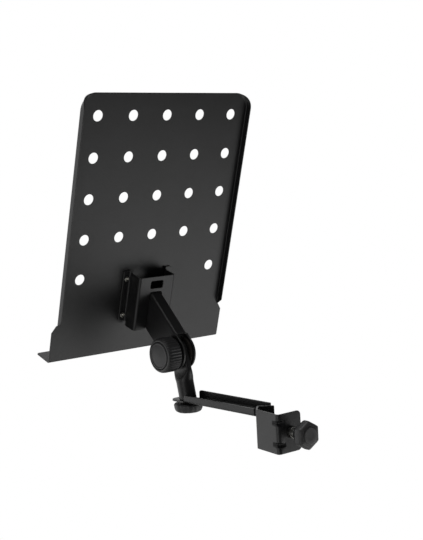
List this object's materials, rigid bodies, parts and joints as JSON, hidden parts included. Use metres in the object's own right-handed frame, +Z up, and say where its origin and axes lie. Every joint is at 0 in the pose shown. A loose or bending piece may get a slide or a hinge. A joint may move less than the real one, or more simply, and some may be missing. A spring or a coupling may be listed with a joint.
{
  "type": "music stand",
  "caption": "Clamp-on music stand: perforated sheet-steel desk that lifts off a tilting, swivelling head on a folded arm with a screw clamp for an upright tube.",
  "frame": {"origin": "on the axis of the upright tube that the clamp grips, at the middle of the jaw's height", "axes": "+Z up along the gripped tube, +Y from the desk along the arm towards the clamp knob, +X towards the tilt knob, which is the reader's right"},
  "size_m": [0.238, 0.3042, 0.3664],
  "materials": {
    "desk_sheet": "satin black powder coat with a fine texture on sheet steel",
    "black_steel": "satin black powder coat on folded steel and tube",
    "rivet_steel": "bright zinc-plated steel rivets",
    "bright_steel": "bright zinc-plated turned and rolled steel",
    "black_plastic": "moulded black plastic, lightly grained",
    "friction_fibre": "pressed black fibre, dull"
  },
  "bodies": {
    "arm": {"clamp_arm": "black_steel", "clamp_jaw": "black_steel", "clamp_nut": "bright_steel"},
    "clamp_follower": {"clamp_pad": "black_plastic"},
    "clamp_spindle": {"clamp_screw": "bright_steel", "clamp_knob": "black_plastic"},
    "riser": {"riser_tube": "black_steel", "tube_plug": "bright_steel", "swivel_washer": "friction_fibre"},
    "swivel_clamp": {"swivel_stud": "bright_steel", "swivel_knob": "black_plastic"},
    "head": {"head_neck": "black_steel", "head_tongue": "black_steel", "friction_disc_1": "friction_fibre", "friction_disc_2": "friction_fibre", "tilt_bolt": "bright_steel", "tilt_washer": "bright_steel"},
    "tilt_clamp": {"tilt_knob": "black_plastic", "tilt_knob_insert": "bright_steel", "tilt_knob_cap": "black_plastic"},
    "desk": {"desk_panel": "desk_sheet", "desk_socket": "black_steel", "socket_rivet_1": "rivet_steel", "socket_rivet_2": "rivet_steel", "socket_rivet_3": "rivet_steel", "socket_rivet_4": "rivet_steel"}
  },
  "joints": [
    {"name": "clamp_feed", "type": "slide", "parent": "arm", "child": "clamp_follower", "axis": [0, -1, 0], "range_m": [-0.016, 0.0035]},
    {"name": "clamp_turn", "type": "hinge", "parent": "clamp_follower", "child": "clamp_spindle", "pos_m": [0, 0.03, 0], "axis": [0, -1, 0], "range_deg": [-4610, 1010]},
    {"name": "swivel", "type": "hinge", "parent": "arm", "child": "riser", "pos_m": [0, -0.1285, 0.03], "axis": [0, 0, 1], "continuous": true},
    {"name": "swivel_knob_turn", "type": "hinge", "parent": "riser", "child": "swivel_clamp", "pos_m": [0, -0.1285, 0.004], "axis": [0, 0, 1], "range_deg": [-540, 0]},
    {"name": "tilt", "type": "hinge", "parent": "riser", "child": "head", "pos_m": [0, -0.1395, 0.064], "axis": [1, 0, 0], "range_deg": [-60, 20]},
    {"name": "tilt_knob_turn", "type": "hinge", "parent": "head", "child": "tilt_clamp", "pos_m": [0.02, -0.1395, 0.064], "axis": [1, 0, 0], "range_deg": [0, 540]},
    {"name": "desk_lift", "type": "slide", "parent": "head", "child": "desk", "axis": [0, 0.2974, 0.9548], "range_m": [0, 0.06]}
  ],
  "couplings": [
    {"joint": "clamp_turn", "follows": "clamp_feed", "rad_per_m": 5026.5}
  ]
}
